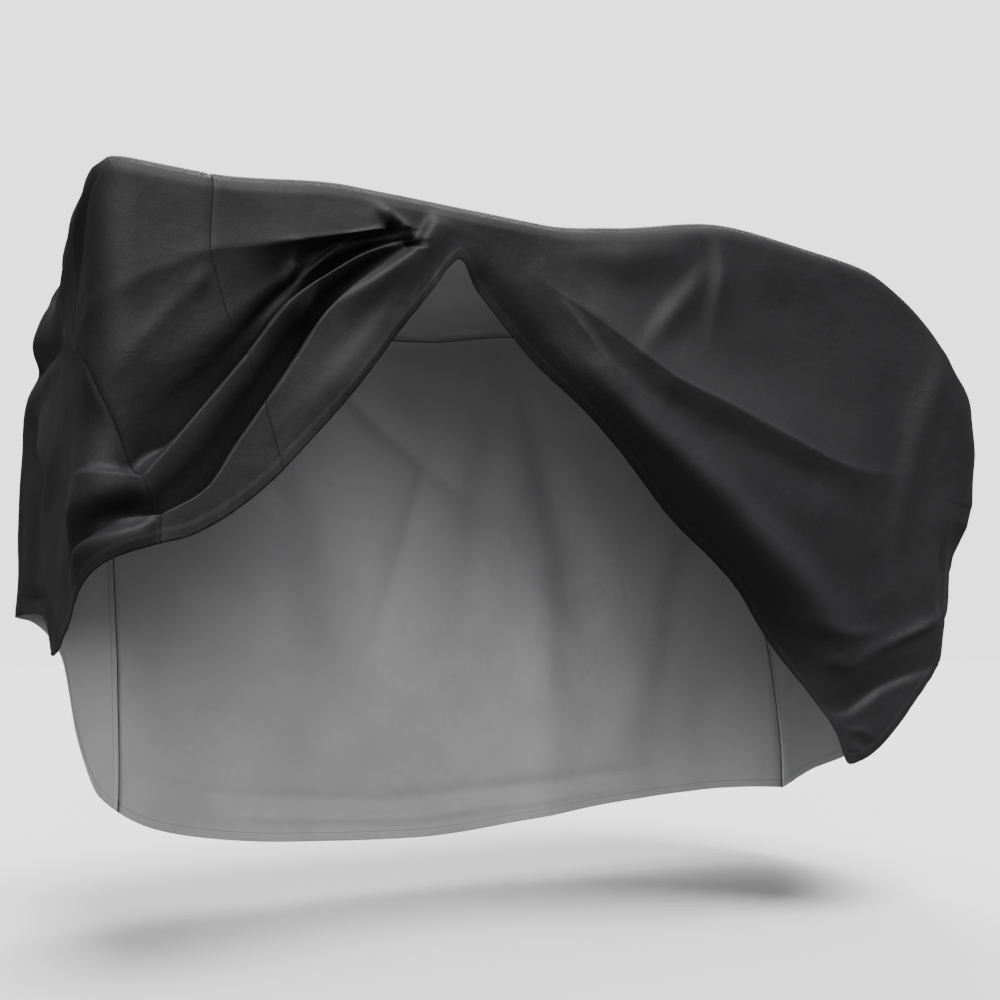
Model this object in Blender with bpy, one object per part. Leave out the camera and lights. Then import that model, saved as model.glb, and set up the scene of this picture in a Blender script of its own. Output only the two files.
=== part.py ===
"""A fitted cover of coated cloth, hanging in its draped shape with the near hem drawn up into a gather.

Metres, +Z up. The origin is under the middle of the top, where the load inside carries the cover.
+X runs to the rear end and -Y faces the near side, whose hem is lifted into an inverted V.

The cloth is six cut panels. A long side lies on a wall that follows a rounded rectangle in plan,
and a place on it is given by `along`, the distance round that rectangle, which equals X on the
straight stretch, and by `height`, its Z. The far side uses the same places, mirrored in Y.
"""

import math

import bmesh
import bpy
import numpy as np

CLOTH = 0.002  # thickness of the coated cloth
SEAM_BLEND = 0.017  # share of the top's width over which it settles onto its seams
SEAM_GAP = 0.001  # what each panel keeps back from a seam, where the cloth turns over an edge

HALF_WIDTH = 0.42
FRONT_X = -0.965
REAR_X = 0.985
FRONT_CORNER = 0.06  # plan radius between the front end and a long side
REAR_CORNER = 0.17
SHOULDER = 0.045  # radius between the top and every wall
SEAM_DROP = SHOULDER * (1 - math.cos(math.radians(45)))  # the seam lies halfway round the shoulder
NEAR, FAR = -1, 1

FRONT_BEND = FRONT_X + FRONT_CORNER  # `along` where the straight side starts
REAR_BEND = REAR_X - REAR_CORNER
FRONT_FLAT = FRONT_BEND - FRONT_CORNER * math.pi / 2  # `along` where the front corner ends
REAR_FLAT = REAR_BEND + REAR_CORNER * math.pi / 2
FRONT_MIDDLE = FRONT_FLAT - (HALF_WIDTH - FRONT_CORNER)
REAR_MIDDLE = REAR_FLAT + (HALF_WIDTH - REAR_CORNER)

# Height of the top's edge over each long side, by X.
TOP_EDGE = (
    # x, near, far
    (-0.95, -0.020, -0.034),
    (-0.79, -0.022, -0.040),
    (-0.55, 0.002, -0.022),
    (-0.36, 0.000, -0.016),
    (-0.16, -0.002, -0.026),
    (0.00, 0.019, -0.016),
    (0.27, 0.067, 0.026),
    (0.48, 0.052, 0.020),
    (0.64, 0.034, -0.004),
    (0.73, -0.004, -0.034),
    (0.85, -0.094, -0.120),
    (0.94, -0.190, -0.200),
    (0.985, -0.250, -0.250),
)

# The lines that the lifted near side hangs in, from under the top's seam to the hem:
# each point is (along, height).
UPPER_FOLD = (
    (-1.14, -0.280), (-0.79, -0.151), (-0.675, -0.118), (-0.55, -0.086), (-0.47, -0.070),
    (-0.35, -0.052), (-0.27, -0.075), (-0.146, -0.135), (0.00, -0.226), (0.21, -0.302),
    (0.41, -0.380), (0.53, -0.404), (0.71, -0.407), (1.30, -0.420),
)
UPPER_VALLEY = (
    (-1.14, -0.320), (-0.98, -0.345), (-0.86, -0.325), (-0.79, -0.272), (-0.675, -0.177),
    (-0.575, -0.106), (-0.47, -0.076), (-0.35, -0.059), (-0.27, -0.087), (-0.146, -0.158),
    (0.01, -0.262), (0.12, -0.325), (0.25, -0.392), (0.375, -0.469), (0.51, -0.534),
    (0.70, -0.554), (0.88, -0.505), (1.30, -0.530),
)
MIDDLE_PLEAT = (
    (-0.885, -0.513), (-0.83, -0.441), (-0.73, -0.306), (-0.66, -0.216), (-0.575, -0.122),
    (-0.52, -0.096), (-0.47, -0.082), (-0.35, -0.066), (-0.27, -0.100), (-0.146, -0.180),
    (0.01, -0.293), (0.12, -0.380), (0.25, -0.465), (0.375, -0.571), (0.51, -0.668),
    (0.70, -0.700), (0.88, -0.600), (1.30, -0.640),
)
LOWER_PLEAT = (
    (-0.856, -0.570), (-0.79, -0.530), (-0.745, -0.463), (-0.66, -0.328), (-0.565, -0.188),
    (-0.51, -0.122), (-0.43, -0.096), (-0.35, -0.080), (-0.28, -0.120), (-0.146, -0.228),
    (-0.03, -0.345), (0.11, -0.480), (0.25, -0.600), (0.35, -0.700), (0.505, -0.890),
    (0.57, -0.862), (0.75, -0.806), (0.80, -0.760), (0.86, -0.660), (0.94, -0.650),
    (1.30, -0.860),
)
NEAR_HEM = (
    (-0.856, -0.613), (-0.82, -0.604), (-0.775, -0.581), (-0.69, -0.525), (-0.618, -0.450),
    (-0.56, -0.380), (-0.467, -0.253), (-0.405, -0.168), (-0.372, -0.118), (-0.35, -0.100),
    (-0.325, -0.132), (-0.08, -0.352), (0.11, -0.537), (0.25, -0.658), (0.35, -0.764),
    (0.49, -0.900), (0.53, -0.996), (0.575, -0.987), (0.67, -0.924), (0.77, -0.822),
    (0.86, -0.705), (0.93, -0.688), (1.06, -0.672), (1.30, -1.030),
)
FAR_HEM = (
    (-1.10, -0.700), (-0.94, -0.710), (-0.86, -0.780), (-0.815, -0.951), (-0.76, -1.070),
    (-0.55, -1.160), (-0.35, -1.185), (0.00, -1.201), (0.38, -1.170), (0.56, -1.153), (0.95, -1.130),
    (1.10, -1.122), (1.30, -1.060),
)

# `along` at which each near line meets the panels' upright edges, the top of the V and the
# lowest corner of the hem.
UPRIGHTS = (
    # edge, top, upper fold, upper valley, middle pleat, lower pleat, hem
    ("front seam", -0.952, -1.110, -0.980, -0.885, -0.856, -0.856),
    ("cross seam", -0.786, -0.791, -0.758, -0.729, -0.700, -0.668),
    ("gather", -0.350, -0.350, -0.350, -0.350, -0.350, -0.350),
    ("low corner", 0.470, 0.480, 0.485, 0.490, 0.515, 0.530),
    ("rear seam", 0.950, 1.040, 1.045, 1.050, 1.050, 1.050),
)
# The same for the far side, whose panels meet at the cross seam, with its hem hanging down.
FAR_UPRIGHTS = (
    # edge, top, hem
    ("front seam", -0.952, -1.050),
    ("cross seam", -0.786, -0.720),
    ("rear seam", 0.950, 1.060),
)

# How far a pleat stands out below its line and is tucked in above it, at full gather.
PLEATS = (
    # line, stands out, tucked in
    ("top", 0.000, 0.000),
    ("upper fold", 0.012, 0.026),
    ("upper valley", -0.016, 0.016),
    ("middle pleat", 0.026, 0.046),
    ("lower pleat", 0.026, 0.040),
    ("hem", 0.004, 0.004),
)
# The share of that depth which the gather has along the near side.
GATHER = (
    (-1.20, 0.00), (-0.87, 0.04), (-0.77, 0.30), (-0.65, 1.00), (-0.52, 0.90), (-0.44, 0.42),
    (-0.35, 0.22), (-0.25, 0.18), (-0.12, 0.00), (1.40, 0.00),
)
STEP = 0.10  # share of the cloth between two lines that turns back under a pleat
BAND_BULGE = 0.022  # the loose band beside the lifted hem rounds out by this much

# Soft folds: a ridge, or a trough where `out` is negative, from one place to another.
NEAR_FOLDS = (
    # along, height, to along, to height, half width, to half width, out
    (-0.22, -0.095, 0.50, -0.400, 0.026, 0.075, 0.030),
    (0.50, -0.400, 0.92, -0.410, 0.075, 0.100, 0.014),
    (-0.14, -0.170, 0.51, -0.668, 0.022, 0.060, 0.026),
    (-0.16, -0.135, 0.45, -0.520, 0.026, 0.060, -0.020),
    (-0.28, -0.130, 0.35, -0.735, 0.030, 0.040, -0.022),
    (0.22, 0.000, 0.20, -0.180, 0.030, 0.045, 0.012),
    (0.20, -0.010, 0.05, -0.170, 0.030, 0.045, 0.014),
    (0.36, 0.000, 0.44, -0.250, 0.050, 0.080, -0.012),
    (0.86, -0.160, 0.70, -0.500, 0.050, 0.060, 0.016),
    (0.70, -0.500, 0.68, -0.640, 0.060, 0.050, 0.014),
    (0.97, -0.500, 0.86, -0.680, 0.045, 0.060, -0.036),
    (0.50, -0.800, 0.79, -0.705, 0.028, 0.028, 0.012),
    (0.53, -0.930, 0.72, -0.850, 0.020, 0.020, -0.012),
    (-0.35, -0.060, -0.35, -0.100, 0.100, 0.080, 0.026),
    (-0.79, -0.151, -1.12, -0.300, 0.030, 0.050, 0.014),
    (-0.90, -0.060, -0.95, -0.260, 0.050, 0.060, -0.010),
    (-0.86, -0.220, -0.80, -0.420, 0.040, 0.040, -0.010),
)
FAR_FOLDS = (
    # along, height, to along, to height, half width, to half width, out
    (-0.40, -0.050, -0.62, -0.700, 0.040, 0.090, 0.026),
    (-0.40, -0.050, -0.12, -0.900, 0.040, 0.100, 0.024),
    (-0.36, -0.300, -0.36, -1.150, 0.060, 0.110, -0.020),
    (0.24, -0.020, 0.12, -0.900, 0.040, 0.090, 0.022),
    (0.26, -0.020, 0.56, -1.000, 0.040, 0.100, 0.026),
    (0.32, -0.350, 0.34, -1.150, 0.050, 0.080, -0.018),
    (0.88, -0.180, 0.70, -1.050, 0.040, 0.080, 0.022),
    (-0.90, -0.150, -0.78, -0.950, 0.050, 0.070, 0.018),
    (-0.70, -1.040, 0.95, -1.080, 0.022, 0.022, 0.010),
)
TOP_FOLDS = (
    # x, y, to x, to y, half width, to half width, up
    (-0.36, -0.34, -0.36, 0.36, 0.060, 0.060, 0.020),
    (0.27, -0.30, 0.27, 0.30, 0.090, 0.090, 0.016),
    (-0.85, -0.02, 0.60, 0.02, 0.110, 0.090, -0.024),
    (-0.36, -0.10, 0.25, -0.22, 0.030, 0.040, 0.012),
    (-0.80, 0.16, -0.40, 0.24, 0.035, 0.030, 0.012),
    (0.62, -0.18, 0.84, -0.10, 0.040, 0.040, 0.010),
)
# On the end walls a place is (across, height), where `across` is Y.
FRONT_FOLDS = (
    (-0.34, -0.330, 0.30, -0.235, 0.030, 0.030, -0.020),
    (-0.36, -0.270, 0.30, -0.170, 0.035, 0.035, 0.010),
    (0.08, -0.370, -0.16, -0.500, 0.022, 0.022, -0.014),
    (-0.16, -0.500, -0.22, -0.660, 0.022, 0.022, -0.014),
    (-0.05, -0.520, -0.02, -0.720, 0.050, 0.060, 0.012),
)
REAR_FOLDS = (
    (-0.22, -0.280, -0.10, -0.800, 0.045, 0.070, 0.020),
    (0.20, -0.280, 0.08, -0.950, 0.045, 0.080, 0.022),
    (0.00, -0.350, 0.00, -0.950, 0.045, 0.060, -0.018),
)
CROWN = 0.034  # the top's middle stands this far above its edges
FAR_SET_BACK = 0.048  # the front end's far edge hangs this much further back than its near edge
FAR_LEAN = 0.042  # and leans back by this much more towards its top
LEAN_FROM, LEAN_TO = -0.350, -0.020  # heights between which it does
LEAN_REACH = 0.45  # and the sides follow it over this length

# Dip of the end walls' hems below the straight line between their seams, across the wall.
FRONT_HEM_DIP = ((0.0, 0.0), (0.07, -0.014), (0.13, -0.044), (0.18, -0.086), (0.28, -0.118),
                 (0.40, -0.130), (0.53, -0.108), (0.60, -0.062), (0.77, -0.024), (1.0, 0.0))
REAR_HEM_DIP = ((0.0, 0.0), (0.25, -0.050), (0.57, -0.050), (0.85, -0.012), (1.0, 0.0))

COLUMNS = (8, 15, 16, 10)  # mesh columns between the uprights
LINE_ROWS = (0.0, 0.3, 0.68)  # rows between two lines, before the pleat's turn
ROWS = (len(LINE_ROWS) + 1) * (len(PLEATS) - 1)
ACROSS = 12  # mesh columns across the top and the end walls
ACROSS_SHARES = (1 - np.cos(np.linspace(0, math.pi, ACROSS + 1))) / 2  # closer at the seams
BLACK = (0.035, 0.035, 0.038, 1.0)


def curve_at(points, where):
    """The height at each place, on a smooth curve through the points that doesn't overshoot."""
    xs, ys = np.array(points, float).T[:2]
    gap = np.diff(xs)
    slope = np.diff(ys) / gap
    tangent = np.zeros(len(xs))
    tangent[0], tangent[-1] = slope[0], slope[-1]
    for i in range(1, len(xs) - 1):
        if slope[i - 1] * slope[i] > 0:
            before, after = 2 * gap[i] + gap[i - 1], gap[i] + 2 * gap[i - 1]
            tangent[i] = (before + after) / (before / slope[i - 1] + after / slope[i])
    where = np.clip(where, xs[0], xs[-1])
    i = np.clip(np.searchsorted(xs, where, side="right") - 1, 0, len(gap) - 1)
    u = (where - xs[i]) / gap[i]
    return (
        ys[i] * (1 + 2 * u) * (1 - u) ** 2
        + ys[i + 1] * u * u * (3 - 2 * u)
        + gap[i] * (tangent[i] * u * (1 - u) ** 2 - tangent[i + 1] * u * u * (1 - u))
    )


def ease(u):
    u = np.clip(u, 0.0, 1.0)
    return u * u * (3 - 2 * u)


def plan(along, inset, side):
    """(x, y, outward x, outward y) round the rounded rectangle, moved in by `inset`."""
    turn_front = np.clip((FRONT_BEND - along) / FRONT_CORNER, 0, math.pi / 2)
    turn_rear = np.clip((along - REAR_BEND) / REAR_CORNER, 0, math.pi / 2)
    out_x = np.sin(turn_rear) - np.sin(turn_front)
    out_y = -np.cos(turn_front) * np.cos(turn_rear)
    on_front, on_rear = along < FRONT_BEND, along > REAR_BEND
    radius = np.where(on_front, FRONT_CORNER, np.where(on_rear, REAR_CORNER, 0))
    centre_x = np.where(on_front, FRONT_BEND, np.where(on_rear, REAR_BEND, along))
    past_front = np.maximum(FRONT_FLAT - along, 0)
    past_rear = np.maximum(along - REAR_FLAT, 0)
    x = centre_x + out_x * (radius - inset)
    y = -(HALF_WIDTH - radius) + out_y * (radius - inset) + past_front + past_rear
    return x, -side * y, out_x, -side * out_y


def across_share(y):
    return (y + HALF_WIDTH) / (2 * HALF_WIDTH)


def edge_height(x, y):
    """Height at which the top meets the walls, arched a little between the long sides."""
    near = curve_at([(row[0], row[1]) for row in TOP_EDGE], x)
    far = curve_at([(row[0], row[2]) for row in TOP_EDGE], x)
    return near + (far - near) * across_share(y) + CROWN * (1 - (y / HALF_WIDTH) ** 2)


def seam_height(along, side):
    x, y, _, _ = plan(along, 0, side)
    return edge_height(x, y) - SEAM_DROP


def shoulder_inset(height, edge):
    """How far the rounded shoulder has turned in at a height, under the top edge's height."""
    rise = np.clip((height - (edge - SHOULDER)) / SHOULDER, 0, 1)
    return SHOULDER * (1 - np.sqrt(1 - rise * rise))


def wall(along, height, side, out):
    """A point of the wall, pushed outwards by `out`."""
    x, y, _, _ = plan(along, 0, side)
    inset = shoulder_inset(height, edge_height(x, y))
    x, y, out_x, out_y = plan(along, inset, side)
    return np.stack([x + out_x * out, y + out_y * out, height], -1)


def folds_at(table, u, v):
    """The sum of a table's soft folds at the places (u, v)."""
    total = np.zeros(np.broadcast(u, v).shape)
    for u0, v0, u1, v1, width, to_width, out in table:
        length = math.hypot(u1 - u0, v1 - v0)
        du, dv = (u1 - u0) / length, (v1 - v0) / length
        ahead = ((u - u0) * du + (v - v0) * dv) / length
        aside = (v - v0) * du - (u - u0) * dv
        half = width + (to_width - width) * np.clip(ahead, 0, 1)
        past = np.maximum(np.maximum(-ahead, ahead - 1), 0) * length
        total = total + out * np.exp(-(aside**2 + past**2) / (half * half))
    return total


def near_rows():
    """Each row as (line above, share of the way to the next line)."""
    rows = []
    for line in range(len(PLEATS) - 1):
        rows += [(line, share * (1 - STEP)) for share in LINE_ROWS]
        rows.append((line, 1 - STEP))
    return rows + [(len(PLEATS) - 2, 1.0)]


def near_places(places, line, share):
    """(along, height, out) of a row of the near side; `places` holds each line's own `along`."""
    heights = [seam_height(places[0], NEAR)]
    lines = (UPPER_FOLD, UPPER_VALLEY, MIDDLE_PLEAT, LOWER_PLEAT, NEAR_HEM)
    for points, along in zip(lines, places[1:]):
        heights.append(np.minimum(curve_at(points, along), heights[-1] - 0.006))
    along = places[line] + (places[line + 1] - places[line]) * share
    height = heights[line] + (heights[line + 1] - heights[line]) * share
    (_, ridge, _), (_, next_ridge, tuck) = PLEATS[line], PLEATS[line + 1]
    if share <= 1 - STEP:
        pleat = ridge - (ridge + tuck) * ease(share / (1 - STEP))
    else:
        pleat = -tuck + (next_ridge + tuck) * ease((share - 1 + STEP) / STEP)
    if line == len(PLEATS) - 2:
        pleat = pleat + BAND_BULGE * math.sin(math.pi * share)
    out = pleat * curve_at(GATHER, along) + folds_at(NEAR_FOLDS, along, height)
    return np.stack([along, height, out * ease((heights[0] - height) / 0.05)], -1)


def near_grid(first, last, columns):
    """Rows of places between two uprights of the near side."""
    stops = [np.array(UPRIGHTS[i][1:]) for i in range(first, last + 1)]
    places = np.concatenate(
        [
            stops[i] + (stops[i + 1] - stops[i]) * np.linspace(0, 1, count + 1)[int(i > 0):, None]
            for i, count in enumerate(columns)
        ]
    )
    return np.stack([near_places(places.T, line, share) for line, share in near_rows()])


def far_grid(first, columns):
    """Rows of places of a far panel, from its seam under the top to its hem."""
    left, right = (np.array(FAR_UPRIGHTS[i][1:]) for i in (first, first + 1))
    top_along, hem_along = (left + (right - left) * np.linspace(0, 1, columns + 1)[:, None]).T
    top = seam_height(top_along, FAR)
    hem = curve_at(FAR_HEM, hem_along)
    rows = []
    for share in np.linspace(0, 1, ROWS + 1) ** 1.6:
        along = top_along + (hem_along - top_along) * ease(share)
        height = top + (hem - top) * share
        out = folds_at(FAR_FOLDS, along, height) * ease((top - height) / 0.05)
        rows.append(np.stack([along, height, out], -1))
    return np.stack(rows)


def on_wall(grid, side):
    return wall(grid[..., 0], grid[..., 1], side, grid[..., 2])


def roof_height(x, y):
    """The top's height, with its edges rounded down over the shoulders."""
    aside = HALF_WIDTH - np.abs(y)
    ahead = np.where(x < 0, x - FRONT_X, REAR_X - x)
    corner = np.where(x < 0, FRONT_CORNER, REAR_CORNER)
    both = (ahead < corner) & (aside < corner)
    inside = np.where(
        both, corner - np.hypot(corner - ahead, corner - aside), np.minimum(ahead, aside)
    )
    lack = np.clip(1 - inside / SHOULDER, 0, 1)
    folds = folds_at(TOP_FOLDS, x, y) * ease((inside - SEAM_DROP) / 0.10)
    return edge_height(x, y) + folds - SHOULDER * (1 - np.sqrt(1 - lack * lack))


def end_wall(near_seam, far_seam, dip, folds, middle):
    """Rows of points across an end wall, from under the top to the hem."""
    rows = []
    shares = ACROSS_SHARES
    from_near, from_far = ease(1 - 3 * shares), ease(3 * shares - 2)
    for down, near, far in zip(np.linspace(0, 1, len(near_seam)), near_seam, far_seam):
        start, stop = -abs(near[0] - middle), abs(far[0] - middle)
        across = start + (stop - start) * shares
        along = middle - np.sign(middle) * np.abs(across)
        height = near[1] + (far[1] - near[1]) * shares + down**2 * curve_at(dip, shares)
        inner = folds_at(folds, across, height) * (1 - from_near) * (1 - from_far)
        fade = ease((near[1] + 0.3 - height) / 0.3) if down else 0
        out = near[2] * from_near + far[2] * from_far + inner * fade
        side = np.where(across < 0, NEAR, FAR)
        rows.append(wall(along, height, side, out))
    return rows


def strip_grid(near_front, near_top, near_rear, far_front, far_top, far_rear):
    """The centre strip's rows of points: up the front end, over the top and down the rear end."""
    shares = ACROSS_SHARES
    front = end_wall(near_front, far_front, FRONT_HEM_DIP, FRONT_FOLDS, FRONT_MIDDLE)[::-1]
    rear = end_wall(near_rear, far_rear, REAR_HEM_DIP, REAR_FOLDS, REAR_MIDDLE)
    middle = np.minimum(np.minimum(shares, 1 - shares) / SEAM_BLEND, 1)
    roof = []
    for near, far in zip(near_top[1:-1], far_top[1:-1]):
        x, y, straight = (near + (far - near) * shares[:, None]).T
        roof.append(np.stack([x, y, straight + (roof_height(x, y) - straight) * middle], -1))
    return np.stack(front + roof + rear), len(front)


def fallen_back(grid):
    """The grid with the front end's far side hanging further back, most of all at its top."""
    x, y, height = grid[..., 0], grid[..., 1], grid[..., 2]
    lean = FAR_SET_BACK + FAR_LEAN * ease((height - LEAN_FROM) / (LEAN_TO - LEAN_FROM))
    reach = ease((FRONT_X + LEAN_REACH - x) / LEAN_REACH)
    return np.stack([x + lean * ease(across_share(y) * 1.3) * reach, y, height], -1)


def held_back(grid, edges):
    """The grid with each named edge drawn in by the seam gap."""
    grid = grid.copy()
    for axis, end in edges:
        rows = np.moveaxis(grid, axis, 0)
        at, inner = (0, 1) if end == 0 else (-1, -2)
        inward = rows[inner] - rows[at]
        inward /= np.linalg.norm(inward, axis=-1, keepdims=True)
        rows[at] += inward * SEAM_GAP
    return grid


def cloth_panel(name, grid, outward_first, colour):
    """One cut panel: the grid of points as a sheet, thickened on both sides of its middle."""
    mesh = bpy.data.meshes.new(name)
    rows, columns = grid.shape[:2]
    work = bmesh.new()
    bmesh.ops.create_grid(work, x_segments=rows - 1, y_segments=columns - 1, size=1)
    for vert in work.verts:
        row = round((vert.co.x + 1) / 2 * (rows - 1))
        column = round((vert.co.y + 1) / 2 * (columns - 1))
        vert.co = grid[row, column]
    if not outward_first:
        bmesh.ops.reverse_faces(work, faces=work.faces)
    work.to_mesh(mesh)
    work.free()
    mesh.shade_smooth()
    panel = bpy.data.objects.new(name, mesh)
    thickness = panel.modifiers.new("cloth thickness", "SOLIDIFY")
    thickness.thickness = CLOTH
    thickness.offset = 0
    mesh.materials.append(cloth_material(name, colour))
    bpy.context.scene.collection.objects.link(panel)
    return panel


def cloth_material(name, colour):
    material = bpy.data.materials.new(name + " cloth")
    material.use_nodes = True
    shader = material.node_tree.nodes["Principled BSDF"]
    shader.inputs["Base Color"].default_value = colour
    shader.inputs["Roughness"].default_value = 0.55
    shader.inputs["Metallic"].default_value = 0.0
    return material


def clear_scene():
    for item in list(bpy.data.objects):
        bpy.data.objects.remove(item, do_unlink=True)


def main():
    clear_scene()
    near_front = near_grid(0, 1, COLUMNS[:1])
    near_side = near_grid(1, 4, COLUMNS[1:])
    far_front = far_grid(0, COLUMNS[0])
    far_side = far_grid(1, sum(COLUMNS[1:]))
    strip, front_rows = strip_grid(
        near_front[:, 0],
        on_wall(np.concatenate([near_front[0], near_side[0, 1:]]), NEAR),
        near_side[:, -1],
        far_front[:, 0],
        on_wall(np.concatenate([far_front[0], far_side[0, 1:]]), FAR),
        far_side[:, -1],
    )
    cross_row = front_rows + COLUMNS[0] - 1
    panels = (
        ("near_front_panel", on_wall(near_front, NEAR), ((0, 0), (1, 0), (1, 1)), False),
        ("near_side_panel", on_wall(near_side, NEAR), ((0, 0), (1, 0), (1, 1)), False),
        ("far_front_panel", on_wall(far_front, FAR), ((0, 0), (1, 0), (1, 1)), True),
        ("far_side_panel", on_wall(far_side, FAR), ((0, 0), (1, 0), (1, 1)), True),
        ("front_strip", strip[: cross_row + 1], ((0, 1), (1, 0), (1, 1)), True),
        ("top_and_rear_strip", strip[cross_row:], ((0, 0), (1, 0), (1, 1)), True),
    )
    for name, grid, edges, outward_first in panels:
        cloth_panel(name, held_back(fallen_back(grid), edges), outward_first, BLACK)


main()
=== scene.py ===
import math

import bmesh
import bpy
import numpy as np
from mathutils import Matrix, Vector


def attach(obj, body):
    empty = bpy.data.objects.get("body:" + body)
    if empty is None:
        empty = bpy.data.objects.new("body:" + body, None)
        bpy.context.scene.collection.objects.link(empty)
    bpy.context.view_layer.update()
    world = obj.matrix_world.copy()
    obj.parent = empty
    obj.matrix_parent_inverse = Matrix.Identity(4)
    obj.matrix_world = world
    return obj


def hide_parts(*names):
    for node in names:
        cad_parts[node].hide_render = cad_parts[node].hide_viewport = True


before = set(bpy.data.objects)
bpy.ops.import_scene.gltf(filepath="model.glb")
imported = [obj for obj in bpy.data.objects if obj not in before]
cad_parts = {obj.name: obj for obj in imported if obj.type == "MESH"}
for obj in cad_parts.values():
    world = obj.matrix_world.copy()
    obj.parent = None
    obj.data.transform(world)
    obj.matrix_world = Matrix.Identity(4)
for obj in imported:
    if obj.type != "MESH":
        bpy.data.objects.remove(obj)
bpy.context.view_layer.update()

# the form that every panel lies on: a rounded rectangle in plan, in metres
coverForm = {
    "halfWidth": 0.42,
    "frontX": -0.965,
    "rearX": 0.985,
    "frontCorner": 0.06,  # plan radius between the front end and a long side
    "rearCorner": 0.17,
    "shoulder": 0.030,  # radius between the top and the walls
    "seamInset": 0.293,  # share of that radius by which its seam stands in from the wall
    "seamRise": 0.707,  # share of that radius at which its seam lies, from the wall up
    "shoulderBend": 1.25,  # how late the wall bends in towards it
    "crown": 0.034,  # the top's middle stands this far above its edges
    "farSetBack": 0.048,  # the front end hangs further back on the far side
    "farSpread": 1.3,  # how soon that comes, going across
    "farLean": 0.042,  # and leans back by this much more between these two heights
    "leanFrom": -0.350,
    "leanTo": -0.020,
    "leanReach": 0.45,  # how far back from the front end it is felt
}
halfWidth = coverForm["halfWidth"]
seamDrop = coverForm["shoulder"] * (1 - math.cos(math.radians(45)))
frontBend = coverForm["frontX"] + coverForm["frontCorner"]  # `along` where the straight side starts
rearBend = coverForm["rearX"] - coverForm["rearCorner"]
frontFlat = frontBend - coverForm["frontCorner"] * math.pi / 2
rearFlat = rearBend + coverForm["rearCorner"] * math.pi / 2
frontMiddle = frontFlat - (halfWidth - coverForm["frontCorner"])
rearMiddle = rearFlat + (halfWidth - coverForm["rearCorner"])

# height of the top's edge by x: (x, near, far)
topEdge = [
    (-0.95, -0.020, -0.034), (-0.79, -0.022, -0.040), (-0.55, 0.002, -0.022),
    (-0.36, 0.000, -0.016), (-0.16, -0.002, -0.026), (0.00, 0.019, -0.016),
    (0.27, 0.067, 0.026), (0.48, 0.052, 0.020), (0.64, 0.034, -0.004),
    (0.73, -0.004, -0.034), (0.85, -0.094, -0.120), (0.94, -0.190, -0.200),
    (0.985, -0.250, -0.250),
]

# the lines that the lifted near side hangs in, as (along, height)
nearLines = {
    "upperFold": [
        (-1.14, -0.280), (-0.79, -0.151), (-0.675, -0.124), (-0.55, -0.088), (-0.47, -0.066),
        (-0.35, -0.052), (-0.27, -0.075), (-0.146, -0.135), (0.00, -0.222), (0.21, -0.302),
        (0.41, -0.372), (0.53, -0.400), (0.71, -0.407), (1.30, -0.420),
    ],
    "upperValley": [
        (-1.14, -0.320), (-0.98, -0.345), (-0.86, -0.325), (-0.79, -0.272), (-0.675, -0.177),
        (-0.575, -0.112), (-0.47, -0.076), (-0.35, -0.059), (-0.27, -0.087), (-0.146, -0.158),
        (0.01, -0.262), (0.12, -0.325), (0.25, -0.392), (0.375, -0.469), (0.51, -0.534),
        (0.70, -0.554), (0.88, -0.505), (1.30, -0.530),
    ],
    "middlePleat": [
        (-0.885, -0.513), (-0.83, -0.441), (-0.73, -0.308), (-0.66, -0.210), (-0.60, -0.162),
        (-0.52, -0.108), (-0.47, -0.088), (-0.35, -0.066), (-0.27, -0.100), (-0.146, -0.180),
        (0.01, -0.290), (0.12, -0.380), (0.25, -0.470), (0.375, -0.575), (0.51, -0.668),
        (0.70, -0.700), (0.88, -0.600), (1.30, -0.640),
    ],
    "lowerPleat": [
        (-0.856, -0.570), (-0.79, -0.527), (-0.74, -0.448), (-0.65, -0.308), (-0.60, -0.225),
        (-0.53, -0.155), (-0.47, -0.112), (-0.43, -0.096), (-0.35, -0.080), (-0.28, -0.120),
        (-0.146, -0.228), (-0.03, -0.345), (0.11, -0.480), (0.25, -0.600), (0.35, -0.700),
        (0.505, -0.890), (0.57, -0.862), (0.75, -0.806), (0.80, -0.745), (0.86, -0.655),
        (0.94, -0.630), (1.06, -0.640), (1.30, -0.860),
    ],
    "hem": [
        (-0.856, -0.613), (-0.82, -0.604), (-0.775, -0.581), (-0.702, -0.525), (-0.632, -0.450),
        (-0.573, -0.380), (-0.476, -0.253), (-0.409, -0.168), (-0.372, -0.118), (-0.35, -0.100),
        (-0.318, -0.132), (-0.062, -0.352), (0.134, -0.537), (0.274, -0.658), (0.355, -0.760),
        (0.440, -0.858), (0.500, -0.935), (0.53, -0.996), (0.575, -0.987), (0.67, -0.924), (0.77, -0.835),
        (0.86, -0.776), (0.94, -0.762), (1.06, -0.748), (1.30, -1.030),
    ],
}
farHem = [
    (-1.10, -0.700), (-0.94, -0.710), (-0.86, -0.780), (-0.815, -0.951), (-0.76, -1.070),
    (-0.55, -1.160), (-0.35, -1.185), (0.00, -1.201), (0.38, -1.170), (0.56, -1.153),
    (0.95, -1.130), (1.10, -1.122), (1.30, -1.060),
]

# `along` where each near line meets an upright: top, then the five lines
uprights = {
    "frontSeam": (-0.952, -1.110, -0.980, -0.885, -0.856, -0.856),
    "crossSeam": (-0.786, -0.791, -0.758, -0.729, -0.700, -0.668),
    "gather": (-0.350, -0.350, -0.350, -0.350, -0.350, -0.350),
    "lowCorner": (0.470, 0.480, 0.485, 0.490, 0.515, 0.530),
    "rearSeam": (0.950, 1.040, 1.045, 1.050, 1.050, 1.050),
}
farUprights = {  # top, then hem
    "frontSeam": (-0.952, -1.050),
    "crossSeam": (-0.786, -0.720),
    "rearSeam": (0.950, 1.060),
}

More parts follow.
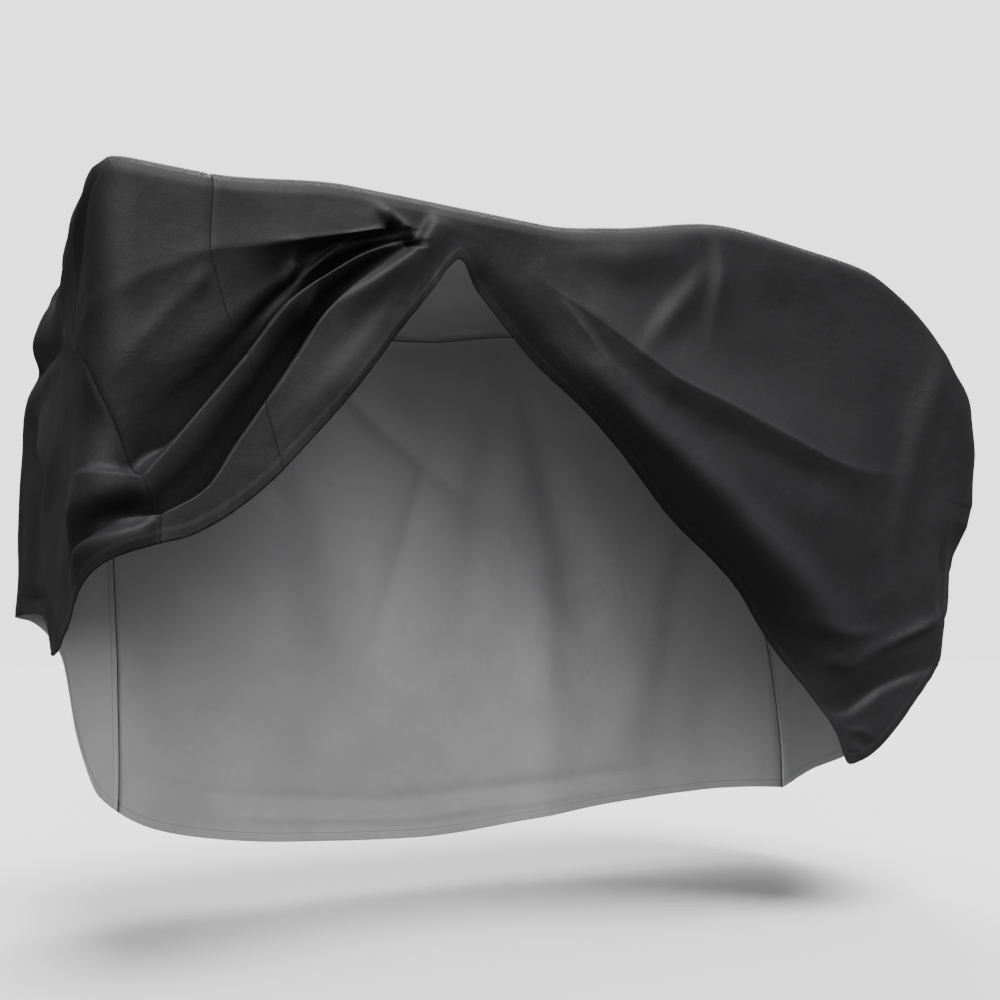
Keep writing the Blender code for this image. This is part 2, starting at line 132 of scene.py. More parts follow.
# at each line: how far the cloth stands out below it, is tucked in above it, and overlaps it
pleats = [
    (0.000, 0.000, 0.000),  # the seam under the top
    (0.011, -0.009, 0.000),  # upper fold
    (-0.026, 0.026, 0.000),  # upper valley
    (0.012, 0.060, 0.042),  # middle pleat
    (0.016, 0.046, 0.038),  # lower pleat
    (0.016, -0.016, 0.000),  # hem
]
upperGather = [  # how strongly the upper fold and its valley are drawn, by `along`
    (-1.20, 0.00), (-0.87, 0.06), (-0.78, 0.22), (-0.72, 0.42), (-0.65, 0.95), (-0.60, 1.00),
    (-0.52, 0.80), (-0.475, 0.36), (-0.44, 0.08), (-0.41, 0.00), (1.40, 0.00),
]
pleatGather = [  # and the two pleats and the loose band
    (-1.20, 0.00), (-1.02, 0.06), (-0.94, 0.30), (-0.88, 0.55), (-0.82, 0.72), (-0.74, 0.90),
    (-0.65, 1.00), (-0.60, 1.00), (-0.52, 0.80), (-0.475, 0.36), (-0.44, 0.08), (-0.41, 0.00),
    (1.40, 0.00),
]
gathers = [upperGather] * 3 + [pleatGather] * 3
pleatLie = {
    "turn": 0.06,  # share of the cloth between two lines that turns back under a pleat
    "openFrom": -0.89,  # forward of this the pleats open out into soft folds
    "openReach": 0.05,
    "openTurn": 0.36,  # added to the turn there
    "overlapFrom": -0.885,  # the overlap grows from nothing here
    "overlapReach": 0.07,
    "fullOverlap": 0.25,  # the share of the gather at which it is whole
    "drawn": 0.3,  # share of the cloth above a pleat that the overlap draws down
    "leastGap": 0.006,  # between two lines
    "seamReach": 0.05,  # the folds fade out this far below the seam under the top
}


def ease(u):
    u = np.clip(u, 0.0, 1.0)
    return u * u * (3 - 2 * u)


def curveAt(points, where):  # smooth curve through (place, height) points, with no overshoot
    xs, ys = np.array(points, float).T[:2]
    gap = np.diff(xs)
    slope = np.diff(ys) / gap
    tangent = np.zeros(len(xs))
    tangent[0], tangent[-1] = slope[0], slope[-1]
    for i in range(1, len(xs) - 1):
        if slope[i - 1] * slope[i] > 0:
            before, after = 2 * gap[i] + gap[i - 1], gap[i] + 2 * gap[i - 1]
            tangent[i] = (before + after) / (before / slope[i - 1] + after / slope[i])
    where = np.clip(where, xs[0], xs[-1])
    i = np.clip(np.searchsorted(xs, where, side="right") - 1, 0, len(gap) - 1)
    u = (where - xs[i]) / gap[i]
    rise = ys[i] * (1 + 2 * u) * (1 - u) ** 2 + ys[i + 1] * u * u * (3 - 2 * u)
    return rise + gap[i] * (tangent[i] * u * (1 - u) ** 2 - tangent[i + 1] * u * u * (1 - u))


def planAt(along, inset, side):  # x, y and the outward direction round the rounded rectangle
    front, rear = coverForm["frontCorner"], coverForm["rearCorner"]
    turnFront = np.clip((frontBend - along) / front, 0, math.pi / 2)
    turnRear = np.clip((along - rearBend) / rear, 0, math.pi / 2)
    outX = np.sin(turnRear) - np.sin(turnFront)
    outY = -np.cos(turnFront) * np.cos(turnRear)
    onFront, onRear = along < frontBend, along > rearBend
    radius = np.where(onFront, front, np.where(onRear, rear, 0))
    centreX = np.where(onFront, frontBend, np.where(onRear, rearBend, along))
    past = np.maximum(frontFlat - along, 0) + np.maximum(along - rearFlat, 0)
    x = centreX + outX * (radius - inset)
    y = -(halfWidth - radius) + outY * (radius - inset) + past
    return x, -side * y, outX, -side * outY


def edgeHeight(x, y):  # height at which the top meets the walls
    near = curveAt([(row[0], row[1]) for row in topEdge], x)
    far = curveAt([(row[0], row[2]) for row in topEdge], x)
    across = (y + halfWidth) / (2 * halfWidth)
    return near + (far - near) * across + coverForm["crown"] * (1 - (y / halfWidth) ** 2)


def seamHeight(along, side):  # height of the seam under the top
    x, y, _, _ = planAt(along, 0, side)
    return edgeHeight(x, y) - seamDrop


def wallPoint(along, height, side, out):  # a place that stands `out` from the walls' own form
    x, y, _, _ = planAt(along, 0, side)
    shoulder = coverForm["shoulder"]
    rise = np.clip((height - (edgeHeight(x, y) - shoulder)) / shoulder, 0, 1)
    inset = coverForm["seamInset"] * (rise / coverForm["seamRise"]) ** coverForm["shoulderBend"]
    x, y, outX, outY = planAt(along, shoulder * inset, side)
    return np.stack([x + outX * out, y + outY * out, height], -1)


def fallenBack(grid):  # the front end leans back on its far side
    x, y, height = grid[..., 0], grid[..., 1], grid[..., 2]
    rise = (height - coverForm["leanFrom"]) / (coverForm["leanTo"] - coverForm["leanFrom"])
    lean = coverForm["farSetBack"] + coverForm["farLean"] * ease(rise)
    reach = ease((coverForm["frontX"] + coverForm["leanReach"] - x) / coverForm["leanReach"])
    across = (y + halfWidth) / (2 * halfWidth)
    return np.stack([x + lean * ease(across * coverForm["farSpread"]) * reach, y, height], -1)


def softFold(s):
    return np.exp(-s * s)


def ridgeFold(s):  # a crest under tension, with hollow flanks
    return 1.04 * np.exp(-1.5 * (np.sqrt(s * s + 0.06) - 0.245))


def creaseFold(s):  # two planes that meet in a crisp crest, the upper one narrower
    away = np.sqrt(np.where(s > 0, s / 0.42, s) ** 2 + 0.003) - 0.055
    return np.clip(1 - away, 0, 1) ** 1.3


def shelfFold(s):  # rises gently to its crest and falls away below it
    return np.where(s > 0, softFold(s), softFold(s / 0.42))


def lapBelow(s):  # steep on its lower side
    return np.where(s > 0, softFold(s), softFold(s / 0.22))


def lapAbove(s):  # steep on its upper side
    return np.where(s < 0, softFold(s), softFold(s / 0.22))


foldForms = {  # across a fold, by the distance from its crest in half widths
    "soft": softFold, "ridge": ridgeFold, "crease": creaseFold,
    "shelf": shelfFold, "lapBelow": lapBelow, "lapAbove": lapAbove,
}


def foldRelief(folds, u, v):  # each fold: kind, out at its stops, half width at its ends, path
    total = np.zeros(np.broadcast(u, v).shape)
    for kind, out, width, path in folds:
        path = np.array(path, float)
        steps = np.linalg.norm(np.diff(path, axis=0), axis=1)
        nearest = np.full(total.shape, np.inf)
        aside, share, done = np.zeros(total.shape), np.zeros(total.shape), 0.0
        for a, b, step in zip(path, path[1:], steps):
            du, dv = (b - a) / step
            t = np.clip((u - a[0]) * du + (v - a[1]) * dv, 0, step)
            offU, offV = u - a[0] - t * du, v - a[1] - t * dv
            off = np.hypot(offU, offV)
            closer = off < nearest
            nearest = np.where(closer, off, nearest)
            aside = np.where(closer, np.where(offV * du - offU * dv > 0, off, -off), aside)
            share = np.where(closer, (done + t) / steps.sum(), share)
            done += step
        half = width[0] + (width[1] - width[0]) * share
        s = aside / half * (1 if path[-1][0] >= path[0][0] else -1)  # positive on the upper side
        stops = np.linspace(0, 1, len(out))
        total = total + foldForms[kind](s) * np.interp(share, stops, out)
    return total


clothHand = {  # how the cloth lies where nothing pulls it
    "waves": 9,  # drawn for each field of swells
    "swell": 0.17,  # metres from swell to swell
    "swellOut": 0.0013,
    "crease": 0.085,  # from crease to crease
    "creaseOut": 0.0005,
    "bend": 0.35,  # how far the creases wander, as a share of that
    "wander": (0.21, 0.19),
    "patch": 0.45,  # from one creased patch to the next
    "seeds": {"near": 11, "far": 85, "top": 47, "front": 61, "rear": 73, "hem": 91},
}


def crinkle(u, v, size, seed):  # a field of gentle swells about `size` metres apart
    draw, waves = np.random.default_rng(seed), clothHand["waves"]
    angles = draw.uniform(0, math.pi, waves)
    phases = draw.uniform(0, 2 * math.pi, waves)
    scales = draw.uniform(0.65, 1.5, waves)
    total = 0.0
    for angle, phase, scale in zip(angles, phases, scales):
        reach = (u * math.cos(angle) + v * math.sin(angle)) * 2 * math.pi / size * scale
        total = total + np.sin(reach + phase)
    return total / math.sqrt(waves)


def restlessness(u, v, place):  # long swells, and thin random creases between them
    seed = clothHand["seeds"][place]
    bend = clothHand["bend"] * clothHand["crease"]
    warpU = u + bend * crinkle(u, v, clothHand["wander"][0], seed + 1)
    warpV = v + bend * crinkle(u, v, clothHand["wander"][1], seed + 2)
    swell = crinkle(u, v, clothHand["swell"], seed) * clothHand["swellOut"]
    field = crinkle(warpU, warpV, clothHand["crease"], seed + 3)
    crease = (0.35 - np.sqrt(field * field + 0.01)) * clothHand["creaseOut"]
    patch = ease(0.5 + 0.7 * crinkle(u, v, clothHand["patch"], seed + 4))  # creased here, smooth there
    return swell + crease * patch


nearFolds = [
    # kind, out at its stops, half width at its ends, path of (along, height)
    # from the gather to the rear: the sharp ridge, the soft one under it, and the dark leading edge
    ("soft", (0.0, 0.022, 0.032, 0.028, 0.0), (0.080, 0.140),
     [(-0.12, -0.190), (0.07, -0.310), (0.24, -0.410), (0.42, -0.500), (0.66, -0.540)]),
    ("shelf", (0.0, 0.012, 0.020, 0.022, 0.022, 0.020, 0.012, 0.0), (0.070, 0.100),
     [(-0.22, -0.098), (-0.146, -0.140), (-0.07, -0.174), (0.01, -0.229), (0.083, -0.273),
      (0.211, -0.312), (0.303, -0.341), (0.408, -0.376), (0.542, -0.409), (0.711, -0.412)]),
    ("ridge", (0.0, 0.004, 0.006, 0.006, 0.006, 0.006, 0.004, 0.0), (0.011, 0.014),
     [(-0.22, -0.094), (-0.146, -0.136), (-0.07, -0.170), (0.01, -0.225), (0.083, -0.269),
      (0.211, -0.308), (0.303, -0.337), (0.408, -0.372), (0.542, -0.405), (0.711, -0.408)]),
    ("soft", (0.0, 0.030, 0.044, 0.048, 0.050, 0.042, 0.006), (0.042, 0.066),
     [(-0.18, -0.215), (-0.060, -0.308), (0.043, -0.390), (0.148, -0.465), (0.259, -0.555),
      (0.373, -0.645), (0.472, -0.722), (0.56, -0.780)]),
    ("soft", (-0.020, -0.044, -0.050, -0.050, -0.046, -0.030, 0.0), (0.036, 0.050),
     [(-0.30, -0.145), (-0.14, -0.300), (0.00, -0.436), (0.14, -0.570), (0.28, -0.700), (0.39, -0.830),
      (0.46, -0.930)]),
    ("crease", (0.0, 0.016, 0.016, 0.0), (0.040, 0.050),
     [(-0.150, -0.138), (-0.101, -0.199), (-0.051, -0.262), (-0.005, -0.310)]),
    ("crease", (0.004, 0.015, 0.010, 0.0), (0.040, 0.090),
     [(0.219, 0.020), (0.225, -0.033), (0.210, -0.110), (0.190, -0.200)]),
    ("crease", (0.004, 0.015, 0.012, 0.0), (0.030, 0.070),
     [(0.020, -0.215), (0.080, -0.155), (0.153, -0.083), (0.218, -0.010)]),
    ("soft", (0.004, 0.010, 0.004), (0.030, 0.045),
     [(-0.09, -0.055), (0.00, -0.050), (0.10, -0.020)]),
    ("soft", (0.0, -0.010, -0.008, 0.0), (0.050, 0.080),
     [(0.36, 0.0), (0.42, -0.13), (0.46, -0.28)]),
    ("soft", (0.004, 0.013, 0.014, 0.004), (0.026, 0.045),
     [(0.88, -0.110), (0.839, -0.165), (0.754, -0.313), (0.692, -0.500), (0.68, -0.640)]),
    ("soft", (0.010, 0.036, 0.042, 0.030, 0.0), (0.090, 0.080),
     [(0.92, -0.130), (0.95, -0.230), (0.97, -0.340), (0.975, -0.460), (0.96, -0.560)]),
    ("soft", (0.0, -0.030, -0.040, -0.080), (0.085, 0.110),
     [(0.94, -0.500), (0.93, -0.590), (0.93, -0.690), (0.95, -0.800)]),
    ("lapAbove", (0.0, -0.016, -0.010), (0.016, 0.024),
     [(0.825, -0.520), (0.822, -0.600), (0.806, -0.690)]),
    ("ridge", (0.0, 0.008, 0.010, 0.004), (0.012, 0.011),
     [(0.510, -0.808), (0.640, -0.760), (0.819, -0.702), (0.880, -0.670)]),
    ("lapBelow", (-0.006, -0.012, -0.009, -0.004), (0.040, 0.044),
     [(0.500, -0.892), (0.540, -0.888), (0.622, -0.845), (0.704, -0.822), (0.800, -0.802)]),
    ("crease", (0.0, 0.008, 0.0), (0.012, 0.016),
     [(0.520, -0.925), (0.570, -0.930), (0.620, -0.952)]),
    ("crease", (0.0, 0.006, 0.0), (0.012, 0.012),
     [(0.530, -0.960), (0.560, -0.965), (0.590, -0.985)]),
    ("crease", (0.0, 0.010, 0.008, 0.0), (0.018, 0.022),
     [(0.36, -0.705), (0.44, -0.722), (0.53, -0.735), (0.64, -0.730)]),
    ("crease", (0.0, 0.010, 0.0), (0.018, 0.022), [(0.41, -0.775), (0.47, -0.790), (0.57, -0.800)]),
    # the gather, and what runs down from it
    ("soft", (0.0, 0.006, 0.008, 0.006), (0.050, 0.040),
     [(-0.66, -0.470), (-0.53, -0.320), (-0.44, -0.210), (-0.36, -0.110)]),
    ("lapAbove", (0.0, 0.012, 0.016, 0.012, 0.0), (0.028, 0.022),
     [(-0.728, -0.296), (-0.661, -0.214), (-0.611, -0.150), (-0.560, -0.100), (-0.487, -0.066)]),
    ("lapAbove", (0.0, 0.012, 0.020, 0.022, 0.014), (0.032, 0.040),
     [(-0.590, -0.220), (-0.510, -0.158), (-0.450, -0.111), (-0.415, -0.066), (-0.395, -0.026)]),
    ("soft", (0.008, 0.020, 0.004), (0.012, 0.013),
     [(-0.512, -0.020), (-0.495, -0.042), (-0.480, -0.064)]),
    ("soft", (0.006, 0.020, 0.004), (0.011, 0.012),
     [(-0.474, -0.046), (-0.457, -0.064), (-0.440, -0.084)]),
    ("soft", (-0.028, -0.028), (0.006, 0.006), [(-0.484, -0.066), (-0.474, -0.067)]),
    ("soft", (-0.028, -0.028), (0.006, 0.006), [(-0.446, -0.088), (-0.436, -0.088)]),
    ("soft", (0.0, 0.006, 0.006, 0.0), (0.014, 0.026),
     [(-0.41, -0.105), (-0.49, -0.215), (-0.57, -0.325), (-0.68, -0.450)]),
    ("soft", (0.0, 0.005, 0.005, 0.0), (0.010, 0.018),
     [(-0.40, -0.125), (-0.47, -0.225), (-0.54, -0.325), (-0.62, -0.430)]),
    ("ridge", (0.0, 0.015, 0.0), (0.011, 0.018),
     [(-0.646, -0.112), (-0.646, -0.150), (-0.655, -0.190)]),
    ("ridge", (0.0, 0.015, 0.0), (0.011, 0.018),
     [(-0.622, -0.186), (-0.628, -0.225), (-0.640, -0.262)]),
    # the front panel
    ("ridge", (0.001, 0.003, 0.003, 0.002), (0.018, 0.020),
     [(-1.06, -0.310), (-0.959, -0.252), (-0.881, -0.201), (-0.785, -0.150)]),
    ("ridge", (0.0, 0.004, 0.005, 0.0), (0.018, 0.022),
     [(-0.940, -0.370), (-0.872, -0.285), (-0.834, -0.238), (-0.796, -0.175)]),
    ("soft", (0.0, 0.005, 0.0), (0.008, 0.012),
     [(-0.811, -0.240), (-0.804, -0.205), (-0.793, -0.175)]),
]

farFolds = [
    ("soft", (0.0, 0.026, 0.020, 0.0), (0.035, 0.090),
     [(-0.40, -0.050), (-0.50, -0.350), (-0.58, -0.700), (-0.60, -0.950)]),
    ("soft", (0.0, 0.024, 0.020, 0.0), (0.035, 0.100),
     [(-0.40, -0.050), (-0.28, -0.400), (-0.12, -0.900)]),
    ("soft", (0.0, -0.020, -0.016), (0.050, 0.110),
     [(-0.36, -0.250), (-0.34, -0.600), (-0.36, -1.150)]),
    ("ridge", (0.0, 0.016, 0.018, 0.0), (0.020, 0.060),
     [(-0.34, -0.060), (-0.10, -0.250), (0.10, -0.380), (0.30, -0.46)]),
    ("soft", (0.0, 0.022, 0.014, 0.0), (0.035, 0.090),
     [(0.24, -0.020), (0.16, -0.450), (0.12, -0.950)]),
    ("soft", (0.0, 0.026, 0.020, 0.0), (0.035, 0.100),
     [(0.26, -0.020), (0.42, -0.500), (0.56, -1.000)]),
    ("soft", (0.0, -0.018, -0.016), (0.050, 0.080),
     [(0.32, -0.350), (0.33, -0.750), (0.34, -1.150)]),
    ("ridge", (0.0, 0.014, 0.014, 0.0), (0.020, 0.060),
     [(0.22, -0.040), (0.02, -0.330), (-0.10, -0.700), (-0.14, -0.950)]),
    ("soft", (0.0, 0.022, 0.016), (0.035, 0.080), [(0.88, -0.180), (0.78, -0.600), (0.70, -1.050)]),
    ("soft", (0.034, 0.030, 0.0), (0.055, 0.060),
     [(-1.12, -0.135), (-0.98, -0.135), (-0.86, -0.150)]),
    ("soft", (-0.014, -0.014, 0.0), (0.022, 0.040),
     [(-1.12, -0.208), (-0.98, -0.208), (-0.86, -0.230)]),
    ("soft", (0.006, 0.006, 0.004), (0.090, 0.100),
     [(-1.03, -0.310), (-1.04, -0.450), (-1.05, -0.640)]),
    ("soft", (0.0, 0.018, 0.010), (0.045, 0.070),
     [(-0.90, -0.150), (-0.84, -0.550), (-0.78, -0.950)]),
    ("soft", (0.0, 0.012, 0.012, 0.012, 0.0), (0.020, 0.020),
     [(-0.76, -1.000), (-0.50, -1.080), (-0.10, -1.120), (0.40, -1.095), (0.95, -1.060)]),
    ("ridge", (0.0, -0.008, -0.008, -0.008, 0.0), (0.012, 0.012),
     [(-0.70, -1.060), (-0.45, -1.122), (-0.05, -1.152), (0.40, -1.128), (0.95, -1.090)]),
]

topFolds = [
    # kind, up, half width, path of (x, y)
    ("soft", (0.0, 0.020, 0.020, 0.0), (0.055, 0.055),
     [(-0.36, -0.36), (-0.35, -0.12), (-0.37, 0.12), (-0.36, 0.38)]),
    ("soft", (0.0, 0.016, 0.016, 0.0), (0.080, 0.080),
     [(0.27, -0.34), (0.26, -0.10), (0.28, 0.12), (0.27, 0.34)]),
    ("soft", (-0.010, -0.024, -0.020, -0.024, -0.006), (0.110, 0.090),
     [(-0.85, -0.02), (-0.50, 0.02), (-0.1, -0.02), (0.2, 0.03), (0.60, 0.02)]),
    ("ridge", (0.0, 0.012, 0.010, 0.0), (0.024, 0.036),
     [(-0.38, -0.08), (-0.15, -0.17), (0.08, -0.18), (0.27, -0.24)]),
    ("ridge", (0.0, 0.012, 0.0), (0.030, 0.030), [(-0.80, 0.16), (-0.60, 0.18), (-0.38, 0.26)]),
    ("ridge", (0.0, 0.010, 0.0), (0.024, 0.040), [(-0.36, 0.20), (-0.10, 0.12), (0.20, 0.16)]),
    ("ridge", (0.0, 0.010, 0.0), (0.030, 0.030), [(-0.82, -0.24), (-0.62, -0.20), (-0.40, -0.26)]),
    ("ridge", (0.0, 0.012, 0.0), (0.030, 0.040), [(0.30, 0.05), (0.58, -0.06), (0.84, -0.10)]),
    ("ridge", (0.0, 0.010, 0.0), (0.030, 0.040), [(0.32, 0.22), (0.55, 0.18), (0.80, 0.24)]),
]

# on the two ends a place is (distance from the middle, height)
frontFolds = [
    ("soft", (0.012, 0.022, 0.024, 0.014), (0.070, 0.060),
     [(-0.38, -0.105), (-0.20, -0.115), (0.10, -0.125), (0.30, -0.130)]),
    ("soft", (0.0, 0.008, 0.010, 0.008), (0.036, 0.040),
     [(-0.30, -0.290), (-0.067, -0.238), (0.140, -0.256), (0.32, -0.290)]),
    ("soft", (0.0, -0.010, -0.012, -0.012), (0.026, 0.024),
     [(-0.22, -0.310), (-0.02, -0.240), (0.14, -0.215), (0.34, -0.208)]),
    ("lapBelow", (0.006, 0.016, 0.020, 0.022, 0.022, 0.004), (0.070, 0.060),
     [(-0.200, -0.715), (-0.120, -0.672), (-0.055, -0.610), (-0.020, -0.535), (-0.050, -0.470),
      (0.190, -0.350)]),
    ("lapBelow", (0.006, 0.014, 0.014, 0.0), (0.060, 0.050),
     [(-0.480, -0.540), (-0.414, -0.550), (-0.361, -0.576), (-0.324, -0.634)]),
    ("soft", (-0.010, -0.020, -0.018, 0.0), (0.022, 0.016),
     [(-0.480, -0.562), (-0.420, -0.578), (-0.370, -0.602), (-0.325, -0.650)]),
    ("lapAbove", (0.014, 0.014, 0.012, 0.0), (0.036, 0.030),
     [(-0.499, -0.580), (-0.445, -0.600), (-0.368, -0.622), (-0.315, -0.659)]),
    ("ridge", (0.0, -0.010, -0.008, 0.0), (0.012, 0.014),
     [(-0.08, -0.676), (0.12, -0.672), (0.34, -0.668)]),
]
rearFolds = [
    ("soft", (0.0, -0.030, -0.044), (0.100, 0.130),
     [(-0.32, -0.600), (-0.30, -0.700), (-0.26, -0.820)]),
    ("soft", (0.0, 0.020, 0.016, 0.0), (0.040, 0.070),
     [(-0.22, -0.280), (-0.16, -0.520), (-0.10, -0.820)]),
    ("soft", (0.0, 0.022, 0.018, 0.0), (0.040, 0.080),
     [(0.20, -0.280), (0.14, -0.600), (0.08, -0.970)]),
    ("soft", (0.0, -0.018, 0.0), (0.045, 0.060), [(0.00, -0.350), (-0.02, -0.650), (0.00, -0.960)]),
    ("ridge", (0.0, 0.014, 0.0), (0.018, 0.040), [(0.24, -0.300), (0.02, -0.480), (-0.18, -0.640)]),
    ("ridge", (0.0, 0.012, 0.0), (0.016, 0.040), [(-0.24, -0.300), (0.00, -0.420), (0.20, -0.480)]),
]

# how far each end's hem hangs below a straight line between its corners: (share across, down)
frontHemDip = [
    (0.0, 0.0), (0.07, -0.014), (0.13, -0.044), (0.18, -0.086), (0.28, -0.118),
    (0.40, -0.130), (0.53, -0.108), (0.60, -0.062), (0.77, -0.024), (1.0, 0.0),
]
rearHemDip = [(0.0, 0.0), (0.10, -0.040), (0.26, -0.090), (0.57, -0.060), (0.85, -0.012), (1.0, 0.0)]
stripLie = {
    "nearReach": 0.12,  # the long sides' folds run this far round onto an end
    "farReach": 0.16,
    "nearHeld": 0.03,  # an end's own folds begin this far from its corners and its top
    "farHeld": 0.06,
    "topHeld": 0.06,
    "roofHeld": 0.10,  # and the top's own folds this far from its edge
    "roofBlend": 0.017,  # share of the way across in which the top settles onto the seams
}

weaveMesh = {  # how finely each panel is laid out
    "columns": (40, 100, 112, 72),  # between the uprights
    "lineRows": 24,  # between two near lines
    "turnRows": 4,  # in a pleat's turn
    "across": 96,
    "nearCrowd": 1.35,  # how far the rows crowd towards a crest, or towards the top on the far side
    "farCrowd": 1.25,
    "cornerCrowd": 0.35,  # and the columns of the strip towards its two corners
}
flatShare = 1 - pleatLie["turn"]
flatRows = np.linspace(0, 1, weaveMesh["lineRows"] + 1)[:-1] ** weaveMesh["nearCrowd"]
turnRows = np.linspace(flatShare, 1, weaveMesh["turnRows"] + 1)[:-1]
lineShares = [*(flatShare * flatRows), *turnRows]
rowsDown = len(lineShares) * len(nearLines) + 1


def nearPlaces(places, line, share):  # one row of the near side: along, height and out
    heights = [seamHeight(places[0], -1)]
    for points, along in zip(nearLines.values(), places[1:]):
        heights.append(np.minimum(curveAt(points, along), heights[-1] - pleatLie["leastGap"]))
    along = places[line] + (places[line + 1] - places[line]) * share
    height = heights[line] + (heights[line + 1] - heights[line]) * share
    gathered, nextGathered = curveAt(gathers[line], along), curveAt(gathers[line + 1], along)
    ridge = pleats[line][0] * gathered
    nextRidge, tuck, overlap = (value * nextGathered for value in pleats[line + 1])
    opened = ease((pleatLie["openFrom"] - along) / pleatLie["openReach"])
    flat = 1 - pleatLie["turn"] - pleatLie["openTurn"] * opened
    down = np.clip(share / flat, 0, 1)
    turn = np.clip((share - flat) / (1 - flat), 0, 1)
    early, late = np.sin(down * math.pi / 2) ** 0.8, down**2.2  # where the cloth falls back
    fall = (down, early, late, late, down)[line]
    sharp = 1 - np.cos(turn * math.pi / 2)
    rise = sharp + (ease(turn) - sharp) * opened
    pleat = ridge - (ridge + tuck) * fall + (nextRidge + tuck) * rise
    whole = pleats[line + 1][2]
    tucked = np.minimum(overlap / pleatLie["fullOverlap"], whole)
    tucked = tucked * ease((along - pleatLie["overlapFrom"]) / pleatLie["overlapReach"])
    tucked = np.minimum(tucked, heights[line] - heights[line + 1])
    drawn = pleatLie["drawn"]
    height = height - tucked * ease((share - flat + drawn) / drawn) * (1 - turn)
    out = pleat + foldRelief(nearFolds, along, height) + restlessness(along, height, "near")
    return np.stack([along, height, out * ease((heights[0] - height) / pleatLie["seamReach"])], -1)


def betweenUprights(stops, columns):  # `along` for every column, on each line
    stops = [np.array(stop) for stop in stops]
    places = [
        stops[i] + (stops[i + 1] - stops[i]) * np.linspace(0, 1, count + 1)[int(i > 0):, None]
        for i, count in enumerate(columns)
    ]
    return np.concatenate(places).T


def nearGrid(names, columns):
    places = betweenUprights([uprights[name] for name in names], columns)
    rows = [(line, share) for line in range(len(pleats) - 1) for share in lineShares]
    return np.stack([nearPlaces(places, line, share) for line, share in rows + [(len(pleats) - 2, 1.0)]])


def farGrid(names, columns):
    topAlong, hemAlong = betweenUprights([farUprights[name] for name in names], columns)
    top, hem = seamHeight(topAlong, 1), curveAt(farHem, hemAlong)
    rows = []
    for share in np.linspace(0, 1, rowsDown) ** weaveMesh["farCrowd"]:
        along = topAlong + (hemAlong - topAlong) * ease(share)
        height = top + (hem - top) * share
        out = foldRelief(farFolds, along, height) + restlessness(along, height, "far")
        rows.append(np.stack([along, height, out * ease((top - height) / pleatLie["seamReach"])], -1))
    return np.stack(rows)


def roofHeight(x, y):  # the top, with its own folds, rounding over at its edge
    aside = halfWidth - np.abs(y)
    ahead = np.where(x < 0, x - coverForm["frontX"], coverForm["rearX"] - x)
    corner = np.where(x < 0, coverForm["frontCorner"], coverForm["rearCorner"])
    both = (ahead < corner) & (aside < corner)
    inside = np.where(both, corner - np.hypot(corner - ahead, corner - aside), np.minimum(ahead, aside))
    lack = np.clip(1 - inside / coverForm["shoulder"], 0, 1)
    relief = foldRelief(topFolds, x, y) + restlessness(x, y, "top")
    relief = relief * ease((inside - seamDrop) / stripLie["roofHeld"])
    return edgeHeight(x, y) + relief - coverForm["shoulder"] * (1 - np.sqrt(1 - lack * lack))


evenShares = np.linspace(0, 1, weaveMesh["across"] + 1)
crowdedShares = (1 - np.cos(evenShares * math.pi)) / 2
crowd = weaveMesh["cornerCrowd"]
acrossShares = crowd * crowdedShares + (1 - crowd) * evenShares


def endWall(nearSeam, farSeam, dip, folds, middle, place):  # one end, from corner to corner
    rows = []
    for down, near, far in zip(np.linspace(0, 1, len(nearSeam)), nearSeam, farSeam):
        start, stop = -abs(near[0] - middle), abs(far[0] - middle)
        across = start + (stop - start) * acrossShares
        along = middle - np.sign(middle) * np.abs(across)
        fromNear = ease(1 - (across - start) / stripLie["nearReach"])
        fromFar = ease(1 - (stop - across) / stripLie["farReach"])
        height = near[1] + (far[1] - near[1]) * acrossShares + down**2 * curveAt(dip, acrossShares)
        inner = foldRelief(folds, across, height) + restlessness(across, height, place)
        held = ease((across - start) / stripLie["nearHeld"]) * ease((stop - across) / stripLie["farHeld"])
        top = height if down == 0 else top
        fade = ease((top - height) / stripLie["topHeld"])
        out = near[2] * fromNear + far[2] * fromFar + inner * held * fade
        rows.append(wallPoint(along, height, np.where(across < 0, -1, 1), out))
    return rows


def stripGrid(nearFront, nearTop, nearRear, farFront, farTop, farRear):  # front end, top, rear end
    front = endWall(nearFront, farFront, frontHemDip, frontFolds, frontMiddle, "front")[::-1]
    rear = endWall(nearRear, farRear, rearHemDip, rearFolds, rearMiddle, "rear")
    settle = np.minimum(np.minimum(acrossShares, 1 - acrossShares) / stripLie["roofBlend"], 1)
    roof = []
    for near, far in zip(nearTop[1:-1], farTop[1:-1]):
        x, y, straight = (near + (far - near) * acrossShares[:, None]).T
        roof.append(np.stack([x, y, straight + (roofHeight(x, y) - straight) * settle], -1))
    return np.stack(front + roof + rear), len(front)


print("laying out the panels")
columns = weaveMesh["columns"]
nearFrontPlaces = nearGrid(("frontSeam", "crossSeam"), columns[:1])
nearSidePlaces = nearGrid(("crossSeam", "gather", "lowCorner", "rearSeam"), columns[1:])
farFrontPlaces = farGrid(("frontSeam", "crossSeam"), columns[:1])
farSidePlaces = farGrid(("crossSeam", "rearSeam"), (sum(columns[1:]),))


def onWall(places, side):
    return wallPoint(places[..., 0], places[..., 1], side, places[..., 2])


strip, frontRows = stripGrid(
    nearFrontPlaces[:, 0],
    onWall(np.concatenate([nearFrontPlaces[0], nearSidePlaces[0, 1:]]), -1),
    nearSidePlaces[:, -1],
    farFrontPlaces[:, 0],
    onWall(np.concatenate([farFrontPlaces[0], farSidePlaces[0, 1:]]), 1),
    farSidePlaces[:, -1],
)
crossRow = frontRows + columns[0] - 1
print("panels laid out")

